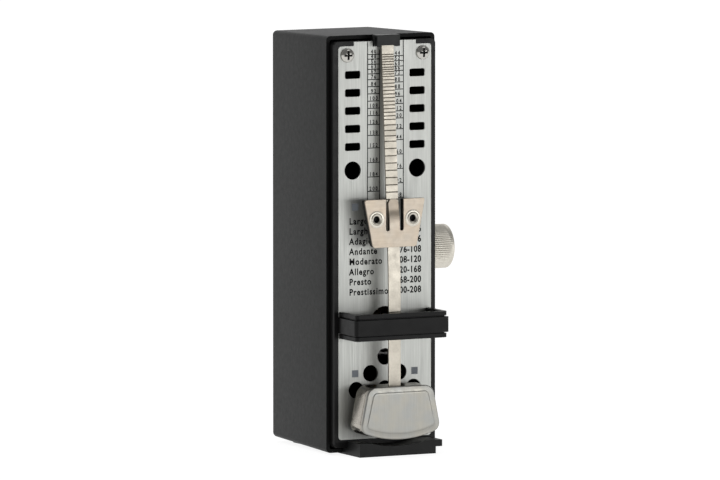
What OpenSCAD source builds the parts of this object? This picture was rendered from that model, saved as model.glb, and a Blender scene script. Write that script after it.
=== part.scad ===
// Key-wound pendulum metronome: casing, front chassis, tempo scale, clockwork and pendulum.
// X points to the right seen from the front, Y to the back, Z up. The origin is on the table,
// on the centre plane, under the front edge of the casing.

/* [Casing] */
// Width of the casing across its front edge
case_w = 40.8; // [40.4:0.1:43]
// Width of the casing across its back edge
case_back_w = 37.4; // [36.8:0.1:40]
// Height of the casing at its front edge
case_h = 140.3; // [140:0.1:142]
// Depth of the casing from front edge to back face
case_d = 44.4; // [44:0.1:50]
// Wall thickness of the casing
case_wall = 1.3; // [1:0.05:1.35]
// Radius of the casing's outer edges
case_edge_r = 1.5; // [1:0.1:2.5]

/* [Front chassis] */
// Width of the chassis rim around the scale plate
frame_w = 38.05; // [37.6:0.05:38.1]
// Distance that the chassis stands in front of the casing
frame_proud = 3.2; // [2.8:0.1:4]
// Width of the scale plate
plate_w = 34.9; // [34:0.1:35.2]
// Thickness of the scale plate
plate_t = 0.8; // [0.6:0.1:1]

/* [Pendulum] */
// Height of the pendulum pivot above the table
pivot_z = 44.1; // [43.8:0.1:44.4]
// Width of the pendulum rod
rod_w = 4.5; // [4:0.1:4.8]
// Thickness of the pendulum rod
rod_t = 0.6; // [0.5:0.05:0.8]
// Height of the rod's tip above the table
rod_top_z = 138.3; // [137.8:0.1:138.9]
// Half width of the bob where it is widest
bob_half_w = 14.8; // [14:0.1:15.5]
// Thickness of the bob
bob_t = 9.1; // [8.6:0.1:9.4]
// Height of the sliding weight's top edge above the table
slider_top_z = 86.2; // [85:0.1:88]
// Half width of the sliding weight's top edge
slider_half_w = 11.5; // [10.5:0.1:12]

/* [Winding] */
// Diameter of the winding knob
knob_d = 15; // [13:0.5:17]
// Distance from the centre plane to the knob's outer end
knob_end_x = 32.5; // [29:0.1:36]
// Number of grip ribs around the knob
knob_ribs = 64; // [40:1:80]

/* [Clockwork] */
// Teeth on the great wheel
great_teeth = 60; // [60:60:60]
// Teeth on the third wheel
third_teeth = 56; // [56:56:56]
// Leaves on each pinion
pinion_leaves = 12; // [12:12:12]
// Teeth on each escape wheel
escape_teeth = 15; // [12:1:18]
// Teeth on the ratchet wheel
ratchet_teeth = 12; // [12:12:24]

/* [Hidden] */
$fn = 64;
eps = 0.01;
run = 0.03;
snug = 0.015;

// Screws, each as head radius, head height, shank radius and shank length
small_shank_r = 0.8;
big_shank_r = 0.9;
case_screw = [1.9, 0.9, big_shank_r, 3.4];
base_screw = [1.8, 1, big_shank_r, 7];
bridge_screw = [1.2, 0.8, small_shank_r, 3.4];
pillar_screw = [1.4, 0.8, small_shank_r, 3.8];
movement_screw = [0.85, 0.7, small_shank_r, 3];
click_screw_size = [1.5, 0.7, small_shank_r, 3];

// Casing
case_z0 = 0.5;
case_z1 = case_z0 + case_h;
back_inset = 1.05;
arbor_hole_r = 3;
case_in = case_w / 2 - case_wall;
draft = (case_w - case_back_w) / 2 / case_d;
foot_gap = 0.15;

// Chassis and scale plate
face_y = -frame_proud;
frame_z0 = 2.4;
frame_z1 = 138.95;
ledge_y = face_y + plate_t;
skirt_d = 4;
skirt_w = 37.6;
skirt_t = 1.6;
window_w = 31;
window_z0 = 9;
window_z1 = 131.3;
pad_x = 12.4;
post_w = 4.4;
post_h = 6;
plate_z0 = 5.1;
plate_z1 = 138.8;
plate_corner_z = 137.4;
plate_corner_r = 1.1;
plate_gap = 0.1;
plate_ear_x = 11.65;
notch_w = 9.2;
notch_z = 137;
slot_x = 12.13;
slot_w = 5.75;
slot_h = 2.65;
slot_r = 0.6;
slot_z = 127.76;
slot_pitch = 6.04;
big_hole_r = 3.065;
big_hole_z = 95.65;
low_hole_r = 2.8;
low_hole_at = [[-5.4, 27.05], [5.4, 27.05], [-10.8, 21.65], [0, 21.65], [10.8, 21.65], [0, 32.5]];
pivot_hole_r = 5.4;
plate_screw_x = 14.2;
plate_screw_z = 134.4;
plate_screw = [2.4, 1.2, big_shank_r, 4];

// Rod catch
catch_half = 4.3;
catch_front_y = -6;
catch_z0 = 137.05;
catch_z1 = 141;
catch_lip_t = 0.6;
catch_cap_t = 0.7;
catch_back_t = 1.2;
catch_dip_half = 2.6;
catch_dip = 0.4;

// Bridge
bridge_z0 = 39.35;
bridge_h = 8.9;
bridge_front_y = -16.4;
bridge_half_w = 17.7;
bridge_corner_r = 1.2;
bridge_band_h = 5.2;
bridge_groove_h = 0.4;
bridge_lip_h = (bridge_h - bridge_band_h) / 2 - bridge_groove_h;
bridge_groove_d = 0.5;
bridge_step = 0.5;
bridge_wall = 1.8;
arm_t = 1.7;
arm_foot_x = 12.9;
arm_foot_t = 1.2;
arm_foot_h = 5;
bridge_screw_x = 14.15;
staff_seat_depth = 1.2;

// Base
foot_w = 28.6;
foot_t = 2.35;
foot_top_right = 16.7;
foot_top_z = 4.6;
foot_front_y = -12.9;
foot_back_y = 37;
scoop_r = 40.85;
base_screw_x = 9;
base_screw_y = 0.8;

// Movement: the arbors run along X between two plates
plate_in_x = 11.8;
movement_t = 1.2;
move_y0 = 1.3;
move_y1 = 30;
move_z0 = 30.3;
move_z1 = 87.3;
pillar_r = 1.5;
pillar_at = [[4.2, 33.5], [27.2, 33.5], [4.2, 84.1], [27.2, 84.1]];
ear_x = 17.1;
ear_h = 6;
ear_z = [36.3, 80.8];
ear_screw_x = 16.2;
tail_z = 54.3;
tail_h = 8;
tail_end_y = case_d - case_wall;
case_screw_at = [15, tail_z];
great_m = 0.5;
third_m = 0.4;
barrel_at = [15.5, 66.8];
escape_at = [12, 36.5];
arm_bt = great_m * (great_teeth + pinion_leaves) / 2;
arm_te = third_m * (third_teeth + pinion_leaves) / 2;
gap_be = norm(escape_at - barrel_at);
dir_be = (escape_at - barrel_at) / gap_be;
along_be = (arm_bt * arm_bt - arm_te * arm_te + gap_be * gap_be) / (2 * gap_be);
side_be = sqrt(arm_bt * arm_bt - along_be * along_be);
third_at = barrel_at + dir_be * along_be + [-dir_be[1], dir_be[0]] * side_be;
great_x = 5;
great_t = 1.5;
third_x = -11.2;
third_t = 1;
third_rim_r = 9.2;
third_boss_r = 2.6;
arbor_r = 0.8;
arbor_pivot_r = 0.6;
winding_r = 1.5;
drum_x0 = -8.5;
drum_x1 = great_x;
drum_r = 11.5;
drum_wall = 0.8;
hub_r = 2.5;
escape_x = 5.5;
escape_r = 3.7;
escape_wheel_t = 1;
bearing_y = 22.5;
bearing_t = 1.2;
bearing_h = 6.5;

// Winding side
ratchet_x = 13.4;
ratchet_t = 1.5;
ratchet_tip_r = 6;
ratchet_root_r = 5;
click_face = -20;
click_tip_r = 5.15;
click_reach = 7;
click_side = 1.8;
click_hub_r = 1.6;
click_neck = 1.3;
spring_foot = [8, -3];
spring_tip = [3.4, 4.6];
knob_x0 = 20.3;
winding_end_x = knob_end_x - 2.6;
knob_chamfer = 0.7;
knob_rib_depth = 0.25;

// Staff and rod
staff_r = 1;
staff_pivot_r = 0.5;
staff_front_y = -14;
rod_base_off = 7.3;
rod_z0 = 12.3;
clamp_w = 4.6;
clamp_h = 7.5;
clamp_t = 0.8;
collar_r = 2.2;
collar_l = 3.4;
collar_flange_r = 3.2;
collar_flange_t = 1;
bend_z0 = 50;
bend_z1 = 68;
rod_slope = 0.067;
rod_y = face_y - rod_base_off;

// Bob
bob_off = 2.9;
bob_top_z = 23.7;
bob_top_half = 12.2;
bob_wide_z = 10.6;
bob_r = 38.55;
bob_back_t = 7.9;
bob_inset = 0.1;
bob_top_corner_r = 3.7;
bob_low_corner_r = 3;
bob_corner_turn = 5;
bob_rivet_z = [15.3, 20.3];
bob_rivet_r = 0.9;
bob_rivet_l = 4.9;
bob_rivet_head_r = 1.6;
bob_rivet_head_t = 0.5;

// Sliding weight
slider_h = 16.2;
slider_bottom_half = 8.2;
slider_off = 7.35;
slider_t = 0.6;
block_off = 4.8;
block_inset = 0.15;
channel_half = 3.3;
tongue_half = 1.95;
tongue_slot_w = 1.35;
tongue_slot_h = 10.7;
tongue_bend_h = 4;
tongue_bend = 14;
rivet_x = 6.8;
rivet_z = slider_top_z - 6.65;
rivet_flange_r = 2.15;
rivet_r = 1.5;
rivet_hole_r = 1.05;

// --- Geometry helpers ---

function unit(v) = v / norm(v);
function polar(r, a) = [r * cos(a), r * sin(a)];
function wrap(a) = a > 180 ? a - 360 : (a < -180 ? a + 360 : a);

// Points of an arc of radius r that rounds the corner at b between a and c
function corner(a, b, c, r, n = 6) =
  let (u = unit(a - b), v = unit(c - b), half = acos(u * v) / 2)
  let (m = b + unit(u + v) * r / sin(half))
  let (p = b + u * r / tan(half) - m, q = b + v * r / tan(half) - m)
  let (start = atan2(p[1], p[0]), sweep = wrap(atan2(q[1], q[0]) - start))
  [for (i = [0:n]) m + polar(r, start + sweep * i / n)];

// A polygon's points with each corner rounded by its own radius
function rounded(points, radii) =
  let (n = len(points))
  [for (i = [0:n - 1]) each radii[i] == 0 ? [points[i]] :
    corner(points[(i + n - 1) % n], points[i], points[(i + 1) % n], radii[i])];

module rounded_rect(w, h, r) {
  square([w - 2 * r, h], center = true);
  square([w, h - 2 * r], center = true);
  for (x = [-1, 1], y = [-1, 1])
    translate([x * (w / 2 - r), y * (h / 2 - r)])
      circle(r);
}

// Extrudes an outline drawn in X and Z from y0 back by t
module slab(y0, t) {
  translate([0, y0 + t, 0])
    rotate([90, 0, 0])
      linear_extrude(t)
        children();
}

// Extrudes an outline drawn in Y and Z from x0 to the right by t
module disc(x0, t) {
  translate([x0, 0, 0])
    rotate([90, 0, 90])
      linear_extrude(t)
        children();
}

// A round bar along X at [y, z]
module x_bar(x0, t, at, r) {
  translate([x0, at[0], at[1]])
    rotate([0, 90, 0])
      cylinder(h = t, r = r);
}

// A round bar along Y at [x, z]
module y_bar(y0, t, at, r) {
  translate([at[0], y0 + t, at[1]])
    rotate([90, 0, 0])
      cylinder(h = t, r = r);
}

module both_sides() {
  for (s = [0, 1])
    mirror([s, 0, 0])
      children();
}

// --- Gear outlines ---

// One flank point of an involute at radius r on the base circle rb
function inv(rb, r) = let (a = acos(min(1, rb / r))) tan(a) * 180 / PI - a;

// Outline of a spur gear; thin makes its teeth narrower for backlash
module gear_outline(m, teeth, add, ded, thin) {
  rp = m * teeth / 2;
  rb = rp * cos(20);
  ra = rp + add * m;
  rr = rp - ded * m;
  rs = max(rb, rr);
  half = 90 / teeth * (1 - thin) + inv(rb, rp);
  flank = [for (i = [0:3]) let (r = rs + (ra - rs) * i / 3) [r, half - inv(rb, r)]];
  tooth = concat([[rr, half - inv(rb, rs)]], flank);
  polygon([for (k = [0:teeth - 1]) each concat(
    [for (p = tooth) polar(p[0], k * 360 / teeth - p[1])],
    [for (i = [len(tooth) - 1:-1:0]) polar(tooth[i][0], k * 360 / teeth + tooth[i][1])])]);
}

module wheel_outline(m, teeth) {
  gear_outline(m, teeth, 0.75, 1.3, 0.12);
}

module pinion_outline(m, teeth) {
  gear_outline(m, teeth, 0.75, 1.35, 0.12);
}

// Spoke windows that leave a rim, a boss and n spokes
module spoke_windows(rim_r, boss_r, n, spoke) {
  difference() {
    circle(rim_r);
    circle(boss_r);
    for (k = [0:n - 1])
      rotate(k * 360 / n)
        translate([0, -spoke / 2])
          square([rim_r + 1, spoke]);
  }
}

// A saw-tooth ring; the steep faces look against the angle
module saw_outline(teeth, tip_r, root_r) {
  polygon([for (k = [0:teeth - 1]) each
    [polar(root_r, k * 360 / teeth), polar(tip_r, k * 360 / teeth)]]);
}

// --- Screws ---

// Cross recess, sunk d deep into a head whose top is at z = 0
module cross_recess(w, d) {
  for (a = [0, 90])
    rotate(a)
      translate([-w / 2, -w / 8, -d])
        cube([w, w / 4, d + eps]);
}

// Pan-head screw: head above z = 0, shank below
module pan_screw(size) {
  head_r = size[0];
  head_h = size[1];
  difference() {
    union() {
      cylinder(h = head_h * 0.55, r = head_r);
      translate([0, 0, head_h * 0.55])
        cylinder(h = head_h * 0.45, r1 = head_r, r2 = head_r * 0.6);
      translate([0, 0, -size[3]])
        cylinder(h = size[3] + eps, r = size[2]);
    }
    translate([0, 0, head_h])
      cross_recess(head_r * 1.1, head_h * 0.6);
  }
}

// Countersunk screw: flush top at z = 0, shank below
module flat_screw(size) {
  head_h = size[1];
  difference() {
    union() {
      translate([0, 0, -head_h])
        cylinder(h = head_h, r1 = size[2], r2 = size[0]);
      translate([0, 0, -size[3]])
        cylinder(h = size[3] - head_h + eps, r = size[2]);
    }
    cross_recess(size[0] * 1.1, head_h * 0.7);
  }
}

// The countersink and hole that a flat_screw sits in
module flat_screw_hole(size) {
  translate([0, 0, -size[1]])
    cylinder(h = size[1], r1 = size[2] + snug, r2 = size[0] + snug);
  translate([0, 0, -eps])
    cylinder(h = 1, r = size[0] + snug);
  translate([0, 0, -size[3]])
    cylinder(h = size[3], r = size[2] + snug);
}

// --- Casing and chassis ---

// Ring of points round a rounded rectangle in the plane at y
function ring(half_w, z0, z1, r, y, n = 6) =
  [for (k = [0:3], i = [0:n])
    let (a = 90 * (k + i / n), sx = k == 0 || k == 3 ? 1 : -1)
    [sx * (half_w - r) + r * cos(a), y, (k < 2 ? z1 - r : z0 + r) + r * sin(a)]];

// Closed solid through a row of rings from front to back
module loft(rings) {
  m = len(rings[0]);
  last = len(rings) - 1;
  polyhedron(points = [for (r = rings) each r], faces = concat(
    [[for (i = [m - 1:-1:0]) i]],
    [for (j = [0:last - 1], i = [0:m - 1])
      [j * m + i, j * m + (i + 1) % m, (j + 1) * m + (i + 1) % m, (j + 1) * m + i]],
    [[for (i = [0:m - 1]) last * m + i]]));
}

// The casing's outline at y, drawn in by inset
function case_ring(y, inset, r) = ring(case_w / 2 - draft * y - inset,
  case_z0 + back_inset * y / case_d + inset, case_z1 - back_inset * y / case_d - inset, r, y);

module casing() {
  color([0.13, 0.13, 0.13])
    difference() {
      loft(concat([case_ring(0, 0, case_edge_r)],
        [for (a = [0:30:90]) case_ring(case_d - case_edge_r * (1 - sin(a)),
          case_edge_r * (1 - cos(a)), max(0.3, case_edge_r * cos(a)))]));
      loft([for (y = [-1, case_d - case_wall]) case_ring(y, case_wall, 0.6)]);
      translate([-foot_w / 2 - foot_gap, -1, 0])
        cube([foot_w + 2 * foot_gap, foot_back_y + foot_gap + 1, 3]);
      x_bar(case_in - 2, 5, barrel_at, arbor_hole_r);
      for (s = [-1, 1])
        translate([s * case_screw_at[0], case_d, case_screw_at[1]])
          rotate([-90, 0, 0])
            flat_screw_hole(case_screw);
    }
}

module casing_screws() {
  color([0.25, 0.25, 0.26])
    for (s = [-1, 1])
      translate([s * case_screw_at[0], case_d, case_screw_at[1]])
        rotate([-90, 0, 0])
          flat_screw(case_screw);
}

// Outline of the scale plate, grown by g, without its holes
module plate_outline(g) {
  mid = (plate_z0 + plate_corner_z) / 2;
  translate([0, mid])
    rounded_rect(plate_w + 2 * g, plate_corner_z - plate_z0 + 2 * g, plate_corner_r);
  translate([-plate_ear_x - g, mid])
    square([2 * (plate_ear_x + g), plate_z1 - mid + g]);
}

module frame_outline(w, z0, z1, r) {
  translate([0, (z0 + z1) / 2])
    rounded_rect(w, z1 - z0, r);
}

module front_frame() {
  color([0.05, 0.05, 0.05])
    difference() {
      union() {
        slab(face_y, frame_proud)
          frame_outline(frame_w, frame_z0, frame_z1, 1.5);
        slab(-eps, skirt_d)
          frame_outline(skirt_w, frame_z0, frame_z1, 1.3);
      }
      // Recess for the scale plate, open at the top between the corner lugs
      slab(face_y - 1, plate_t + 1) {
        plate_outline(plate_gap);
        translate([-plate_ear_x - plate_gap, plate_corner_z])
          square([2 * (plate_ear_x + plate_gap), 3]);
      }
      difference() {
        slab(face_y - 1, skirt_d + frame_proud + 2)
          translate([-window_w / 2, window_z0])
            square([window_w, window_z1 - window_z0]);
        // Side pads that carry the bridge and the movement
        both_sides()
          translate([pad_x, ledge_y, bridge_z0 - 0.5])
            cube([window_w / 2 + 1 - pad_x, -ledge_y, bridge_h + 1]);
      }
      difference() {
        slab(0, skirt_d + 1)
          frame_outline(skirt_w - 2 * skirt_t, frame_z0 + skirt_t, frame_z1 - skirt_t, 0.8);
        both_sides()
          translate([base_screw_x - post_w / 2, -1, frame_z0])
            cube([post_w, skirt_d, post_h]);
      }
      both_sides() {
        y_bar(ledge_y - 1, 6, [plate_screw_x, plate_screw_z], big_shank_r + snug);
        y_bar(ledge_y - 1, 2.7, [bridge_screw_x, pivot_z], small_shank_r + snug);
        for (z = ear_z)
          y_bar(-2, 3, [ear_screw_x, z], small_shank_r + snug);
        translate([base_screw_x, base_screw_y, 0])
          cylinder(h = 7.2, r = big_shank_r + snug);
      }
    }
}

module scale_plate() {
  color([0.75, 0.75, 0.73])
    difference() {
      slab(face_y, plate_t)
        difference() {
          plate_outline(0);
          translate([-notch_w / 2, notch_z])
            square([notch_w, 3]);
          for (s = [-1, 1], k = [0:4])
            translate([s * slot_x, slot_z - k * slot_pitch])
              rounded_rect(slot_w, slot_h, slot_r);
        }
      for (s = [-1, 1]) {
        y_bar(face_y - 1, 3, [s * slot_x, big_hole_z], big_hole_r);
        y_bar(face_y - 1, 3, [s * plate_screw_x, plate_screw_z], big_shank_r + snug);
        y_bar(face_y - 1, 3, [s * bridge_screw_x, pivot_z], small_shank_r + snug);
      }
      for (at = low_hole_at)
        y_bar(face_y - 1, 3, at, low_hole_r);
      y_bar(face_y - 1, 3, [0, pivot_z], pivot_hole_r);
    }
}

module plate_screws() {
  color([0.8, 0.8, 0.78])
    for (s = [-1, 1])
      translate([s * plate_screw_x, face_y, plate_screw_z])
        rotate([90, 0, 0])
          pan_screw(plate_screw);
}

// Open-sided hook that the parked rod tip rests in
module pendulum_catch() {
  color([0.12, 0.12, 0.12]) {
    translate([-catch_half, ledge_y - catch_back_t, catch_z0])
      cube([2 * catch_half, catch_back_t, catch_z1 - catch_z0]);
    translate([-catch_half, catch_front_y, catch_z1 - catch_cap_t])
      cube([2 * catch_half, ledge_y - catch_front_y, catch_cap_t]);
    difference() {
      translate([-catch_half, catch_front_y, catch_z0])
        cube([2 * catch_half, catch_lip_t, catch_z1 - catch_z0]);
      translate([-catch_dip_half, catch_front_y - 1, catch_z0 - 1])
        cube([2 * catch_dip_half, catch_lip_t + 2, 1 + catch_dip]);
    }
  }
}

// --- Bridge that holds the staff's front pivot ---

// U-shaped strip seen from above: it reaches half to each side and stands back by step in front
module bridge_strip(z0, h, half, step, t) {
  y0 = bridge_front_y + step;
  r = bridge_corner_r;
  translate([0, 0, z0])
    linear_extrude(h)
      difference() {
        union() {
          for (s = [-1, 1])
            translate([s * (half - r), y0 + r])
              circle(r);
          translate([-half + r, y0])
            square([2 * (half - r), r + eps]);
          translate([-half, y0 + r])
            square([2 * half, face_y - y0 - r]);
        }
        translate([-half + t, bridge_front_y + bridge_wall])
          square([2 * (half - t), face_y - bridge_front_y]);
      }
}

module bridge() {
  mid = bridge_z0 + bridge_h / 2;
  half = bridge_half_w - bridge_step;
  groove_half = half - bridge_groove_d;
  color([0.14, 0.14, 0.14])
    difference() {
      union() {
        bridge_strip(bridge_z0, bridge_h, groove_half, bridge_step + bridge_groove_d,
          arm_t - bridge_groove_d);
        for (z = [bridge_z0, bridge_z0 + bridge_h - bridge_lip_h])
          bridge_strip(z, bridge_lip_h, half, bridge_step, arm_t);
        bridge_strip(mid - bridge_band_h / 2, bridge_band_h, bridge_half_w, 0, arm_t + bridge_step);
        both_sides()
          translate([arm_foot_x, face_y - arm_foot_t, pivot_z - arm_foot_h / 2])
            cube([half - arm_foot_x, arm_foot_t, arm_foot_h]);
      }
      y_bar(bridge_front_y + bridge_wall - staff_seat_depth, 3, [0, pivot_z], staff_pivot_r + run);
      both_sides()
        y_bar(face_y - 3, 4, [bridge_screw_x, pivot_z], small_shank_r + snug);
    }
}

module bridge_screws() {
  color([0.75, 0.75, 0.72])
    for (s = [-1, 1])
      translate([s * bridge_screw_x, face_y - arm_foot_t, pivot_z])
        rotate([90, 0, 0])
          pan_screw(bridge_screw);
}

// --- Base ---

module base_foot() {
  color([0.17, 0.17, 0.17])
    difference() {
      union() {
        translate([-foot_w / 2, foot_front_y, 0])
          cube([foot_w, foot_back_y - foot_front_y, foot_t]);
        translate([-foot_w / 2, foot_front_y, foot_t - eps])
          cube([foot_w / 2 + foot_top_right, face_y - 0.05 - foot_front_y, foot_top_z - foot_t + eps]);
      }
      y_bar(foot_front_y - 1, face_y - foot_front_y + 2, [0, pivot_z], scoop_r);
      both_sides()
        translate([base_screw_x, base_screw_y, 0])
          mirror([0, 0, 1])
            flat_screw_hole(base_screw);
    }
}

module base_screws() {
  color([0.3, 0.3, 0.3])
    both_sides()
      translate([base_screw_x, base_screw_y, 0])
        mirror([0, 0, 1])
          flat_screw(base_screw);
}

// --- Movement frame ---

module movement_outline() {
  translate([(move_y0 + move_y1) / 2, (move_z0 + move_z1) / 2])
    rounded_rect(move_y1 - move_y0, move_z1 - move_z0, 2);
  translate([move_y1 - 2, tail_z - tail_h / 2])
    square([tail_end_y - move_y1 + 2, tail_h]);
}

// The right-hand plate with its front ears, back tail and pivot holes
module movement_plate() {
  difference() {
    union() {
      disc(plate_in_x, movement_t)
        movement_outline();
      for (z = ear_z)
        translate([plate_in_x, 0, z - ear_h / 2])
          cube([ear_x - plate_in_x, movement_t, ear_h]);
      for (z = ear_z)
        translate([plate_in_x, 0, z - ear_h / 2])
          cube([movement_t, 2, ear_h]);
      translate([plate_in_x, tail_end_y - movement_t, tail_z - tail_h / 2])
        cube([4.9, movement_t, tail_h]);
    }
    x_bar(plate_in_x - 1, 4, barrel_at, winding_r + run);
    x_bar(plate_in_x - 1, 4, third_at, arbor_pivot_r + run);
    x_bar(plate_in_x - 1, 4, escape_at, arbor_pivot_r + run);
    for (p = pillar_at)
      x_bar(plate_in_x - 1, 4, p, small_shank_r + snug);
    for (z = ear_z)
      y_bar(-1, 4, [ear_screw_x, z], small_shank_r + snug);
    y_bar(tail_end_y - 2, 3, case_screw_at, big_shank_r + snug);
  }
}

module movement_plate_right() {
  color([0.72, 0.6, 0.32])
    difference() {
      movement_plate();
      x_bar(plate_in_x - 1, 4, click_at, small_shank_r + snug);
    }
}

module movement_plate_left() {
  color([0.72, 0.6, 0.32])
    mirror([1, 0, 0])
      movement_plate();
}

module movement_pillars() {
  color([0.6, 0.6, 0.6])
    for (p = pillar_at)
      difference() {
        x_bar(-plate_in_x, 2 * plate_in_x, p, pillar_r);
        both_sides()
          x_bar(plate_in_x - 3, 4, p, small_shank_r + snug);
      }
}

module pillar_screws() {
  color([0.55, 0.55, 0.55])
    both_sides()
      for (p = pillar_at)
        translate([plate_in_x + movement_t, p[0], p[1]])
          rotate([0, 90, 0])
            pan_screw(pillar_screw);
}

module movement_screws() {
  color([0.55, 0.55, 0.55])
    both_sides()
      for (z = ear_z)
        translate([ear_screw_x, movement_t, z])
          rotate([-90, 0, 0])
            pan_screw(movement_screw);
}

// Arm from the right plate that holds the staff's rear pivot
module rear_bearing_bracket() {
  color([0.72, 0.6, 0.32])
    difference() {
      union() {
        translate([-3, bearing_y, pivot_z - bearing_h / 2])
          cube([3 + plate_in_x, bearing_t, bearing_h]);
        translate([plate_in_x - 1.2, bearing_y, pivot_z - bearing_h / 2])
          cube([1.2, 5.5, bearing_h]);
      }
      y_bar(bearing_y - 1, 4, [0, pivot_z], staff_pivot_r + run);
    }
}

// --- Winding side ---

function ratchet_face() = round(click_face * ratchet_teeth / 360) * 360 / ratchet_teeth;
click_tip = barrel_at + polar(click_tip_r, ratchet_face() - 1.2);
click_at = click_tip + click_reach * polar(1, ratchet_face() - 90)
  + click_side * polar(1, ratchet_face());

module winding_knob() {
  r = knob_d / 2;
  len = knob_end_x - knob_x0;
  color([0.7, 0.68, 0.62])
    difference() {
      intersection() {
        disc(knob_x0, len)
          translate(barrel_at)
            polygon([for (i = [0:2 * knob_ribs - 1])
              polar(r - (i % 2) * knob_rib_depth, i * 180 / knob_ribs)]);
        translate([knob_x0, barrel_at[0], barrel_at[1]])
          rotate([0, 90, 0])
            union() {
              cylinder(h = knob_chamfer, r1 = r - knob_chamfer, r2 = r + 0.1);
              translate([0, 0, knob_chamfer - eps])
                cylinder(h = len - 2 * knob_chamfer, r = r + 0.1);
              translate([0, 0, len - knob_chamfer - 2 * eps])
                cylinder(h = knob_chamfer, r1 = r + 0.1, r2 = r - knob_chamfer);
            }
      }
      x_bar(knob_x0 - 1, winding_end_x + 0.4 - knob_x0 + 1, barrel_at, winding_r + snug);
    }
}

module winding_arbor() {
  color([0.6, 0.6, 0.6]) {
    x_bar(-plate_in_x - movement_t, winding_end_x + plate_in_x + movement_t, barrel_at, winding_r);
    x_bar(drum_x0 + 0.1, great_x - drum_x0 - 0.2, barrel_at, hub_r);
  }
}

module ratchet_wheel() {
  color([0.5, 0.5, 0.5])
    difference() {
      disc(ratchet_x, ratchet_t)
        translate(barrel_at)
          saw_outline(ratchet_teeth, ratchet_tip_r, ratchet_root_r);
      x_bar(ratchet_x - 1, ratchet_t + 2, barrel_at, winding_r + snug);
    }
}

module click() {
  tip_out = barrel_at + polar(ratchet_tip_r + 0.5, ratchet_face() - 1.2);
  color([0.5, 0.5, 0.5])
    difference() {
      union() {
        x_bar(ratchet_x + 0.1, ratchet_t - 0.2, click_at, click_hub_r);
        disc(ratchet_x + 0.1, ratchet_t - 0.2)
          polygon([click_tip, tip_out, click_at + [click_neck, 0.9], click_at + [-click_neck, 0.9]]);
      }
      x_bar(ratchet_x - 1, 4, click_at, small_shank_r + run);
    }
}

module click_screw() {
  color([0.6, 0.6, 0.6])
    translate([ratchet_x + ratchet_t + 0.1, click_at[0], click_at[1]])
      rotate([0, 90, 0])
        pan_screw(click_screw_size);
}

// Leaf that presses the click home, from a foot on the right plate
module click_spring() {
  foot = click_at + spring_foot;
  tip = click_at + spring_tip;
  color([0.65, 0.65, 0.68])
    disc(plate_in_x + movement_t, 1.8)
      union() {
        translate(foot)
          square(3, center = true);
        polygon([foot + [-1.2, 0], foot + [-0.8, 0.4], tip + [0.35, 0], tip]);
      }
}

// --- Going barrel ---

module spring_barrel() {
  color([0.75, 0.63, 0.3])
    difference() {
      x_bar(drum_x0, drum_x1 - drum_x0, barrel_at, drum_r);
      x_bar(drum_x0 - 1, drum_x1 - drum_x0, barrel_at, drum_r - drum_wall);
      x_bar(drum_x0 - 1, drum_x1 - drum_x0 + 2, barrel_at, hub_r + run);
    }
}

module barrel_cover() {
  color([0.78, 0.66, 0.34])
    difference() {
      x_bar(drum_x0 - drum_wall, drum_wall, barrel_at, drum_r);
      x_bar(drum_x0 - 2, 4, barrel_at, winding_r + run);
    }
}

module great_wheel() {
  color([0.78, 0.66, 0.34])
    difference() {
      disc(great_x, great_t)
        translate(barrel_at)
          wheel_outline(great_m, great_teeth);
      x_bar(great_x - 1, great_t + 2, barrel_at, winding_r + run);
    }
}

// Spiral ribbon wound inside the barrel
module mainspring() {
  turns = 7;
  steps = 24;
  t = 0.35;
  r0 = hub_r + 0.6;
  r1 = drum_r - drum_wall - 0.8;
  ribbon = [for (i = [0:turns * steps]) [r0 + (r1 - r0) * i / (turns * steps), i * 360 / steps]];
  outer = [for (p = ribbon) polar(p[0] + t, p[1])];
  inner = [for (i = [len(ribbon) - 1:-1:0]) polar(ribbon[i][0], ribbon[i][1])];
  color([0.35, 0.38, 0.45])
    disc(drum_x0 + 0.6, drum_x1 - drum_x0 - 2.4)
      translate(barrel_at)
        polygon(concat(outer, inner));
}

// --- Wheel train ---

module train_arbor(at) {
  x_bar(-plate_in_x - 1, 2 * plate_in_x + 2, at, arbor_pivot_r);
  x_bar(-plate_in_x + 0.2, 2 * plate_in_x - 0.4, at, arbor_r);
}

module third_arbor() {
  color([0.6, 0.6, 0.6])
    train_arbor(third_at);
}

// Turn that puts a pinion's gap on the line to a wheel tooth at wheel_turn
function mesh_turn(wheel_at, pinion_at, wheel_teeth, pinion_teeth, wheel_turn) =
  let (d = pinion_at - wheel_at, line = atan2(d[1], d[0]))
  line + 180 + 180 / pinion_teeth + (line - wheel_turn) * wheel_teeth / pinion_teeth;

third_turn = mesh_turn(barrel_at, third_at, great_teeth, pinion_leaves, 0);
escape_turn = mesh_turn(third_at, escape_at, third_teeth, pinion_leaves, third_turn);

module third_pinion() {
  color([0.62, 0.62, 0.62])
    difference() {
      disc(great_x - 0.4, great_t + 0.8)
        translate(third_at)
          rotate(third_turn)
            pinion_outline(great_m, pinion_leaves);
      x_bar(great_x - 1, great_t + 2, third_at, arbor_r + snug);
    }
}

module third_wheel() {
  color([0.78, 0.66, 0.34])
    difference() {
      disc(third_x, third_t)
        translate(third_at)
          rotate(third_turn)
            difference() {
              wheel_outline(third_m, third_teeth);
              spoke_windows(third_rim_r, third_boss_r, 4, 1.6);
            }
      x_bar(third_x - 1, third_t + 2, third_at, arbor_r + snug);
    }
}

module escape_arbor() {
  color([0.6, 0.6, 0.6])
    train_arbor(escape_at);
}

module escape_pinion() {
  color([0.62, 0.62, 0.62])
    difference() {
      disc(third_x - 0.3, third_t + 1)
        translate(escape_at)
          rotate(escape_turn)
            pinion_outline(third_m, pinion_leaves);
      x_bar(third_x - 1, third_t + 2, escape_at, arbor_r + snug);
    }
}

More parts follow.
